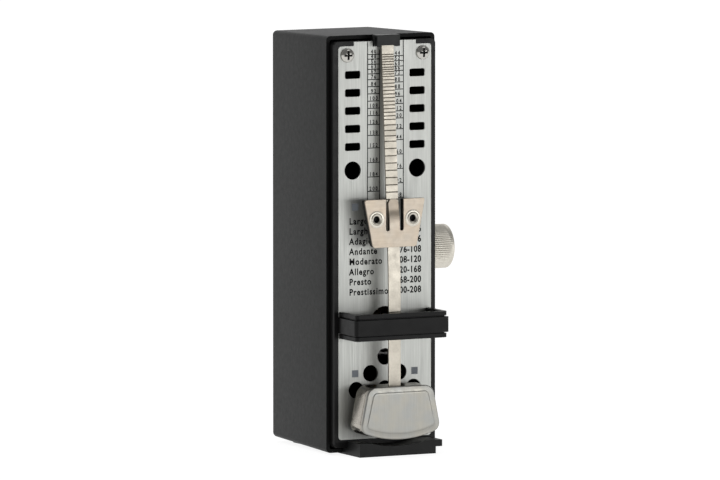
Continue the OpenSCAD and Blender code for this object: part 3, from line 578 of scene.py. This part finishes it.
def tempos():
    """The standard metronome tempos."""
    return [*range(40, 60, 4), *range(60, 72, 3), *range(72, 120, 4), *range(120, 144, 6),
            *range(144, 209, 8)]


def tempo_height(tempo):
    """Height of a tempo's line: the step grows up to EVEN_TEMPO, then it stays even."""
    slow = min(tempo, EVEN_TEMPO) - tempos()[0]
    fast = max(tempo, EVEN_TEMPO) - EVEN_TEMPO
    return TEMPO_TOP_Z - SLOW_STEP * slow - SLOW_GROWTH * slow ** 2 - FAST_STEP * fast


def rod_thickness():
    """The rod fills the gap between the clamp in front of it and the collar behind it."""
    return COLLAR_LOW.y - box_of("rod_clamp")[1].y


def rod_front(z):
    """Y of the rod's front face: straight below, then bent back towards its parked tip."""
    reach = ROD_HIGH.y - rod_thickness() - ROD_LOW.y
    slope = reach / ((BEND_Z1 - BEND_Z0) / 2 + ROD_HIGH.z - BEND_Z1)
    if z < BEND_Z0:
        return ROD_LOW.y
    if z < BEND_Z1:
        return ROD_LOW.y + slope * (z - BEND_Z0) ** 2 / (2 * (BEND_Z1 - BEND_Z0))
    return ROD_LOW.y + slope * ((BEND_Z1 - BEND_Z0) / 2 + z - BEND_Z1)


def pendulum_rod():
    """Flat strip with a cut across its front at every tempo; the bottom of each cut gets painted shade."""
    half = ROD_HIGH.x
    thickness = rod_thickness()
    heights = [(z, 0.0) for z in (ROD_LOW.z, *range(int(BEND_Z0), int(BEND_Z1) + 1, 2))]
    # one more cut just above the clamp, whose painted shade stands in for the shadow gap there
    above_clamp = box_of("rod_clamp")[1].z + 0.25
    for z in [above_clamp, *(tempo_height(tempo) for tempo in reversed(tempos()))]:
        heights += [(z - GROOVE_HALF, 0), (z - GROOVE_HALF * 0.4, GROOVE_DEPTH),
                    (z + GROOVE_HALF * 0.4, GROOVE_DEPTH), (z + GROOVE_HALF, 0)]
    heights.append((ROD_HIGH.z - 0.5, 0))
    heights.sort()
    bm = bmesh.new()
    rings = []
    for z, depth in heights:
        y = rod_front(z)
        ring = [(-half, y + depth), (half, y + depth), (half, y + thickness), (-half, y + thickness)]
        rings.append([(x, y, z) for x, y in ring])
    y = rod_front(ROD_HIGH.z)
    tip = half - 0.4
    rings.append([(x, y, ROD_HIGH.z) for x, y in
                  ((-tip, y), (tip, y), (tip, y + thickness), (-tip, y + thickness))])
    skin_rings(bm, rings)
    # painted shade: faces at the bottom of each cut take the dark material
    for face in bm.faces:
        if is_groove(face):
            face.material_index = 1
    rod = make_piece("pendulum_rod_graduated", bm, "pendulum", "rod_nickel", ("pendulum_rod",))
    rod.data.materials.append(MATERIALS["painted_groove_shade"])
    round_edges(rod, 0.07, 2)


def is_groove(face):
    """True for a face at the bottom of a cut in the rod's front, which gets painted shade."""
    middle = face.calc_center_median()
    return abs(middle.x) < 0.01 and 0.1 < middle.y - rod_front(middle.z) < 0.25


# --- Bob ---

BOB_TOP_HALF = 12.2
BOB_WIDE_Z = 10.6
BOB_CORNER = 3.7
BOB_LOW_CORNER = 3
BOB_OUTSET = 0.05  # the rounding takes this much off the widest point
BOB_SLOT_PLAY = 0.1
BOB_SLOT_HEIGHT = 30
FACE_INSET = 0.12
FACE_ROUND = 0.42
PANEL_RISE = 0.15


def bob_loop(inset):
    """Outline of the bob: sloping sides, rounded corners and a bottom edge round the pivot."""
    top = Vector((BOB_TOP_HALF - inset, BOB_HIGH.z - inset))
    wide = Vector((BOB_HIGH.x + BOB_OUTSET - inset, BOB_WIDE_Z))
    side = (wide - top).normalized()
    radius = PIVOT_Z - BOB_LOW.z - inset
    from_pivot = top - Vector((0, PIVOT_Z))
    along = from_pivot.dot(side)
    low = top + side * (-along + math.sqrt(along ** 2 - from_pivot.dot(from_pivot) + radius ** 2))
    end = math.degrees(math.asin(low.x / radius)) - 5
    bottom = arc((0, PIVOT_Z), radius, -90 + end, -90 - end, 14)
    corner = BOB_CORNER - inset
    low_corner = BOB_LOW_CORNER - inset * 0.8
    points = [(-top.x, top.y), (top.x, top.y), (low.x, low.y), *bottom, (-low.x, low.y)]
    radii = [corner, corner, low_corner, *(0 for _ in bottom), low_corner]
    return rounded_loop(points, radii)


def bob_ring(inset, y):
    """The bob's outline at a depth, drawn in by inset."""
    return [(x, y, z) for x, z in bob_loop(inset)]


def quarter_round(inset, y, radius, steps=8):
    """Rings that round an edge off towards the front."""
    rings = []
    for step in range(steps + 1):
        angle = math.radians(90 * step / steps)
        rings.append(bob_ring(inset + radius * (1 - math.cos(angle)), y - radius * math.sin(angle)))
    return rings


def bob_body():
    """Deep cast body with a slot for the rod."""
    back_y, front_y = BOB_HIGH.y, BOB_LOW.y
    # (distance in from the outline, distance in front of the back): the sides draw in to the front
    stations = [(1.0, 0), (0.45, 0.15), (0.12, 0.5), (0, 1.0), (0.05, 1.3), (0.3, 3.6), (0.55, 5.9),
                (0.6, 6.25), (0.68, 6.35), (0.68, 6.45), (0.55, 6.55), (0.45, 6.8), (0.45, 7.1),
                (0.6, 7.4)]
    rings = [bob_ring(inset, back_y - ahead) for inset, ahead in stations]
    rings.append(bob_ring(0.9, front_y))
    body = skin_rings(bmesh.new(), rings)
    slot = bmesh.new()
    bmesh.ops.create_cube(slot, size=1.0)
    slot_size = (ROD_HIGH.x * 2 + BOB_SLOT_PLAY, rod_thickness() + BOB_SLOT_PLAY, BOB_SLOT_HEIGHT)
    bmesh.ops.scale(slot, vec=slot_size, verts=slot.verts)
    slot_foot = ROD_LOW.z - BOB_SLOT_PLAY
    slot_middle = (0, ROD_LOW.y + rod_thickness() / 2, slot_foot + BOB_SLOT_HEIGHT / 2)
    bmesh.ops.translate(slot, vec=slot_middle, verts=slot.verts)
    make_piece("bob_body", cut(body, slot), "pendulum", "bob_nickel", ("bob_back",))


def bob_face():
    """Pressed face plate with a rounded edge and a raised panel."""
    back_y, front_y = FACE_HIGH.y, FACE_LOW.y
    rings = [bob_ring(0.6, back_y), bob_ring(0.3, back_y - 0.1), bob_ring(FACE_INSET, back_y - 0.3)]
    rings += quarter_round(FACE_INSET, front_y + PANEL_RISE + FACE_ROUND, FACE_ROUND)
    margin = FACE_INSET + FACE_ROUND
    # (distance in from the outline, share of the rise) of the step up to the raised panel
    for inset, share in ((margin + 0.1, 1), (1.95, 1), (2.03, 0.9), (2.2, 0.1), (2.28, 0), (2.8, 0)):
        rings.append(bob_ring(inset, front_y + PANEL_RISE * share))
    face = skin_rings(bmesh.new(), rings)
    make_piece("bob_face", face, "pendulum", "bob_nickel", ("bob_front",), material="bob_face_nickel")


# --- Sliding weight ---

SLIDER_FOOT_HALF = 8.2
TONGUE_HALF = 1.95
TONGUE_STEPS = 14
TONGUE_TIP = 1.3  # height of the tip's sloping corners
SLOT_WIDTH = 1.35
SLOT_HEIGHT = 10.7
BEND_HEIGHT = 4.0  # length of the straighter tip
BEND_ANGLE = 16.0
TIP_ANGLE = 7.0
RIVET_X = 6.8
RIVET_SEAT = 2.2
RIVET_COLLAR = 2.85
RIVET_SHANK = 1.45
RIVET_BORE = 1.1


def slider_plate():
    """Trapezoid plate with a tongue between two slots; the tongue leans back towards the rod."""
    y0, y1 = SLIDER_LOW.y, BLOCK_LOW.y
    top, bottom = SLIDER_HIGH.z, SLIDER_LOW.z
    half_top, half_bottom = SLIDER_HIGH.x, SLIDER_FOOT_HALF
    end = top - SLOT_HEIGHT
    middle = TONGUE_HALF + SLOT_WIDTH / 2
    radius = SLOT_WIDTH / 2
    right = rounded_corner((half_bottom, bottom), (half_top, top), (0, top), 0.6)
    bottom_right = rounded_corner((-half_bottom, bottom), (half_bottom, bottom), (half_top, top), 1)
    mouth = rounded_corner((half_top, top), (middle + radius, top), (middle + radius, end), 0.25, 3)
    slot_end = arc((middle, end + radius), radius, 0, -180, 10)
    tip = top - 0.1
    root = end + SLOT_WIDTH
    levels = [root + (tip - TONGUE_TIP - root) * i / TONGUE_STEPS for i in range(TONGUE_STEPS + 1)]
    tongue_side = [(TONGUE_HALF, z) for z in levels] + [(TONGUE_HALF - 0.75, tip)]
    right_side = bottom_right + right + mouth + slot_end + tongue_side
    loop = right_side + [(-x, z) for x, z in reversed(right_side)]
    holes = [circle_loop((side * RIVET_X, rivet_z()), RIVET_SEAT) for side in (-1, 1)]
    lines = [((-TONGUE_HALF, z), (TONGUE_HALF, z)) for z in levels]
    bm = plate_mesh([loop, *holes], y0, y1, lines)
    for vert in bm.verts:
        if abs(vert.co.x) < TONGUE_HALF + 0.01 and vert.co.z > root:
            vert.co.y += tongue_lean(vert.co.z - root)
    make_piece("slider_sheet", bm, "slider", "slider_nickel", ("slider_plate",), edge=0.1)


def tongue_lean(height):
    """How far the tongue leans back at a height above its root: it curves, then runs straight."""
    curved = SLOT_HEIGHT - SLOT_WIDTH - BEND_HEIGHT
    slope = math.tan(math.radians(BEND_ANGLE))
    if height < curved:
        return slope * height ** 2 / (2 * curved)
    return slope * curved / 2 + (height - curved) * math.tan(math.radians(TIP_ANGLE))


def rivet_z():
    """Height of the middle of both rivets."""
    low, high = box_of("slider_rivets")
    return (low.z + high.z) / 2


def slider_rivets():
    """Rivets with a bright collar, a rolled rim round a blind bore, and a flat back flange; the bore's
    walls get painted shade.
    """
    low, high = box_of("slider_rivets")
    flange = (high.z - low.z) / 2
    outer = RIVET_SEAT - 0.22
    front, back = low.y, high.y
    sheet = SLIDER_LOW.y
    collar_top = sheet - 0.07
    # (radius, y) from the back flange along the shank, round the collar and rim and into the bore
    profile = [(flange, back), (flange, back - 0.15), (RIVET_SHANK, back - 0.15),
               (RIVET_SHANK, sheet + 0.2), (RIVET_COLLAR, sheet + 0.01), (RIVET_COLLAR, collar_top + 0.03),
               (RIVET_COLLAR - 0.05, collar_top), (outer + 0.15, collar_top), (outer + 0.08, sheet),
               (outer + 0.05, sheet + 0.15), (outer, sheet + 0.15), (outer, sheet - 0.03),
               (outer - 0.1, front + 0.1), (outer - 0.25, front + 0.03), (outer - 0.4, front + 0.06),
               (outer - 0.55, front + 0.2), (RIVET_BORE + 0.2, front + 0.22),
               (RIVET_BORE + 0.1, front + 0.28), (RIVET_BORE, front + 0.45), (RIVET_BORE, front + 2.0)]
    for side, name in ((-1, "left"), (1, "right")):
        center = (side * RIVET_X, rivet_z())
        bm = turned(profile, center)
        for face in bm.faces:
            middle = face.calc_center_median()
            r = math.hypot(middle.x - center[0], middle.z - center[1])
            # painted shade: the bore's walls take the near-black material
            if r < RIVET_BORE + 0.02 and middle.y < back - 0.5:
                face.material_index = 1
        piece = make_piece(f"slider_rivet_{name}", bm, "slider", "slider_nickel",
                           material="rivet_nickel")
        piece.data.materials.append(MATERIALS["recess"])
        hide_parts("slider_rivets")


# --- Print on the scale plate ---

INK = 0.02
LADDER_MIDDLE_X = 0.22
LADDER_OUTER = 6.75
LADDER_INNER = 2.25
LADDER_FOOT_Z = 83.8
LINE_WIDTH = 0.3
TERMS = [("Largo", 40, 60), ("Larghetto", 60, 66), ("Adagio", 66, 76), ("Andante", 76, 108),
         ("Moderato", 108, 120), ("Allegro", 120, 168), ("Presto", 168, 200),
         ("Prestissimo", 200, 208)]
TERM_TOP_Z = 77.54
TERM_PITCH = 3.41
TERM_LEFT_X = -13.4
TERM_RIGHT_X = 13.7
TERM_CAP = 2.08
TERM_SQUEEZE = 0.87
TERM_SPACING = 1.18
RANGE_SPACING = 1.1
NUMBER_CAP = 1.25
NUMBER_SQUEEZE = 0.85
NUMBER_SPACING = 1.5
NUMBER_LIFT = 0.3  # from the middle of a line to the foot of its number
SQUARE_ROWS = (27.2, 83.3)
SQUARE_X = 11.2
SQUARE_HALF = 1.2
CAP_PER_EM = 0.682  # height of a capital in Blender's own font
PRINT_SINK = 0.005  # the print starts this far below the plate's face


def add_bar(bm, x0, x1, z0, z1):
    """A thin printed bar on the plate."""
    ends = [(x0, z0), (x1, z0), (x1, z1), (x0, z1)]
    skin_rings(bm, [[(x, y, z) for x, z in ends] for y in (PLATE_Y + PRINT_SINK, PLATE_Y - INK)])


def add_text(bm, text, x, z, cap_height, width, spacing, align, weight):
    """Printed lettering with its baseline at z; width squeezes the letters, weight thickens them."""
    curve = bpy.data.curves.new("lettering", "FONT")
    curve.body = text
    curve.size = 1.0
    curve.align_x = align
    curve.space_character = spacing
    curve.resolution_u = 3
    curve.offset = weight
    curve.extrude = 0.5
    obj = bpy.data.objects.new("lettering", curve)
    bpy.context.scene.collection.objects.link(obj)
    graph = bpy.context.evaluated_depsgraph_get()
    letters = bmesh.new()
    letters.from_mesh(obj.evaluated_get(graph).to_mesh())
    bpy.data.objects.remove(obj)
    bpy.data.curves.remove(curve)
    bmesh.ops.remove_doubles(letters, verts=letters.verts, dist=1e-5)
    size = cap_height / CAP_PER_EM
    for vert in letters.verts:
        flat = vert.co.copy()
        y = PLATE_Y + PRINT_SINK - (flat.z + 0.5) * (INK + PRINT_SINK)
        vert.co = (x + flat.x * size * width, y, z + flat.y * size)
    mesh = bpy.data.meshes.new("lettering")
    letters.to_mesh(mesh)
    letters.free()
    bm.from_mesh(mesh)
    bpy.data.meshes.remove(mesh)


def printed_scale():
    """Ladder of tempo lines with their numbers, left and right in turn, and the tempo words."""
    lines = bmesh.new()
    half = LINE_WIDTH / 2
    for side in (-1, 1):
        for reach, top in ((LADDER_OUTER, PLATE_HIGH.z - 0.05), (LADDER_INNER, TEMPO_TOP_Z + 1.5)):
            x = LADDER_MIDDLE_X + side * reach
            add_bar(lines, x - half, x + half, LADDER_FOOT_Z, top)
    numbers = bmesh.new()
    for i, tempo in enumerate(tempos()):
        side = -1 if i % 2 == 0 else 1
        z = tempo_height(tempo)
        ends = sorted(LADDER_MIDDLE_X + side * (reach - trim)
                      for reach, trim in ((LADDER_INNER, -half), (LADDER_OUTER, half)))
        add_bar(lines, ends[0], ends[1], z - half, z + half)
        x = LADDER_MIDDLE_X + side * (LADDER_INNER + LADDER_OUTER) / 2
        add_text(numbers, str(tempo), x, z + NUMBER_LIFT, NUMBER_CAP, NUMBER_SQUEEZE, NUMBER_SPACING,
                 "CENTER", 0.03)
    make_piece("scale_lines", lines, "chassis", "black_lacquer", material="ink")
    make_piece("scale_numbers", numbers, "chassis", "black_lacquer", material="ink")
    words = bmesh.new()
    for row, (word, slow, fast) in enumerate(TERMS):
        z = TERM_TOP_Z - TERM_PITCH * row
        add_text(words, word, TERM_LEFT_X, z, TERM_CAP, TERM_SQUEEZE, TERM_SPACING, "LEFT", 0.03)
        add_text(words, f"{slow}-{fast}", TERM_RIGHT_X, z, TERM_CAP, TERM_SQUEEZE, RANGE_SPACING,
                 "RIGHT", 0.032)
    make_piece("scale_words", words, "chassis", "black_lacquer", material="ink")
    squares = bmesh.new()
    for z in SQUARE_ROWS:
        for x in (-SQUARE_X, SQUARE_X):
            add_bar(squares, x - SQUARE_HALF, x + SQUARE_HALF, z - SQUARE_HALF, z + SQUARE_HALF)
    make_piece("scale_squares", squares, "chassis", "black_lacquer", material="square_ink")


# --- Stage, light and camera ---

CENTER = Vector((0, 0, 0.0708))
VIEW_AZIMUTH = -27.2
VIEW_ELEVATION = 5.58
VIEW_DISTANCE = 3.37
VIEW_LENS = 501.9
AIM_RIGHT = -0.00688
AIM_UP = 0.00069

FRONT_SKY = 0.2
BACK_SKY = 1.0
SKY_RISE = (-0.35, 0.6)  # the sky goes from FRONT_SKY to BACK_SKY between these depths
FLOOR_COLOR = 0.3
FLOOR_GLOW = 0.9
FLOOR_DROP = 0.00005  # keeps the floor just clear of the base
# (name, place, (width, height), power): a low key light, one from above, and one that edges mirror
LIGHTS = [("key", (0.75, -1.35, 0.105), (1.0, 0.2), 2.9),
          ("top", (0.1, 0.6, 1.6), (1.4, 1.4), 0.5),
          ("edge", (0.8, -1.1, 1.1), (0.7, 0.35), 0.8)]


def floor():
    """Plain white floor that gives off some light, so that the shadow on it stays faint."""
    bm = bmesh.new()
    bmesh.ops.create_grid(bm, x_segments=1, y_segments=1, size=8.0)
    bmesh.ops.translate(bm, vec=(0, 0, -FLOOR_DROP), verts=bm.verts)
    mesh = bpy.data.meshes.new("floor")
    bm.to_mesh(mesh)
    bm.free()
    obj = bpy.data.objects.new("floor", mesh)
    bpy.context.scene.collection.objects.link(obj)
    finish = Finish("floor_paper", (FLOOR_COLOR, FLOOR_COLOR, FLOOR_COLOR), 0.0, 0.9, 0.0)
    finish.shader.inputs["Emission Color"].default_value = (1, 1, 1, 1)
    finish.shader.inputs["Emission Strength"].default_value = FLOOR_GLOW
    mesh.materials.append(finish.material)


def area_light(name, place, size, power):
    """A soft light, size wide and high, that looks at the middle of the object."""
    data = bpy.data.lights.new(name, "AREA")
    data.shape = "RECTANGLE"
    data.size, data.size_y = size
    data.energy = power
    light = bpy.data.objects.new(name, data)
    light.location = place
    light.rotation_euler = (CENTER - Vector(place)).to_track_quat("-Z", "Y").to_euler()
    bpy.context.scene.collection.objects.link(light)


def lighting():
    """White studio, brighter behind the object, and its soft lights."""
    world = bpy.data.worlds.new("studio")
    world.use_nodes = True
    tree = world.node_tree
    place = tree.nodes.new("ShaderNodeTexCoord")
    axes = tree.nodes.new("ShaderNodeSeparateXYZ")
    tree.links.new(place.outputs["Generated"], axes.inputs["Vector"])
    background = tree.nodes["Background"]
    sky = map_range(tree, axes.outputs["Y"], *SKY_RISE, FRONT_SKY, BACK_SKY)
    tree.links.new(sky, background.inputs["Strength"])
    background.inputs["Color"].default_value = (1, 1, 1, 1)
    bpy.context.scene.world = world
    for light in LIGHTS:
        area_light(*light)
    bpy.context.scene.view_settings.view_transform = "Standard"


def camera():
    """Camera at the photograph's viewing angle, aimed a little beside the object's middle."""
    azimuth, elevation = math.radians(VIEW_AZIMUTH), math.radians(VIEW_ELEVATION)
    back = Vector((math.sin(azimuth) * math.cos(elevation), -math.cos(azimuth) * math.cos(elevation),
                   math.sin(elevation)))
    right = Vector((math.cos(azimuth), math.sin(azimuth), 0))
    up = back.cross(right)
    data = bpy.data.cameras.new("camera")
    data.lens = VIEW_LENS
    data.sensor_width = 36
    data.clip_end = 50
    obj = bpy.data.objects.new("camera", data)
    obj.location = CENTER + back * VIEW_DISTANCE
    aim = CENTER + right * AIM_RIGHT + up * AIM_UP
    obj.rotation_euler = (aim - obj.location).to_track_quat("-Z", "Y").to_euler()
    bpy.context.scene.collection.objects.link(obj)
    bpy.context.scene.camera = obj


camera()
lighting()
floor()
show_cad_nodes()
plate_screw_heads()
winding_knob()
pendulum_rod()
bob_body()
bob_face()
slider_plate()
slider_rivets()
printed_scale()
